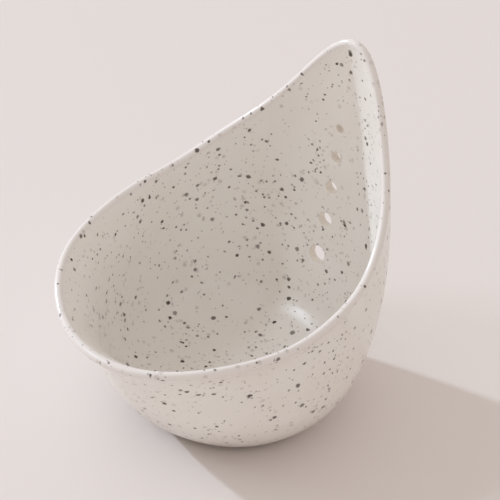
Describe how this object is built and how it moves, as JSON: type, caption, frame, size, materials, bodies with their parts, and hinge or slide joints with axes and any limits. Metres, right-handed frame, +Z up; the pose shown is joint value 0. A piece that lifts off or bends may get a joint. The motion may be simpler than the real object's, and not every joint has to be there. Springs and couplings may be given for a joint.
{
  "type": "herb stripper bowl",
  "caption": "Small speckled stoneware bowl with a low rounded side and one tall pointed lip pierced by a column of graded holes for stripping herb leaves from their stems.",
  "frame": {"origin": "bottom centre of the bowl's bounding box, on the plane that the foot ring stands on", "axes": "+Z up; +X from the low side towards the tall pierced lip; +Y to the left when looking along +X"},
  "size_m": [0.1222, 0.0964, 0.1268],
  "materials": {
    "stoneware": "bare fired clay, matt, buff",
    "glaze": "satin-gloss off-white glaze with fine dark iron speckles"
  },
  "bodies": {
    "root": {"stoneware_body": "stoneware", "glaze_coat": "glaze"}
  },
  "joints": []
}
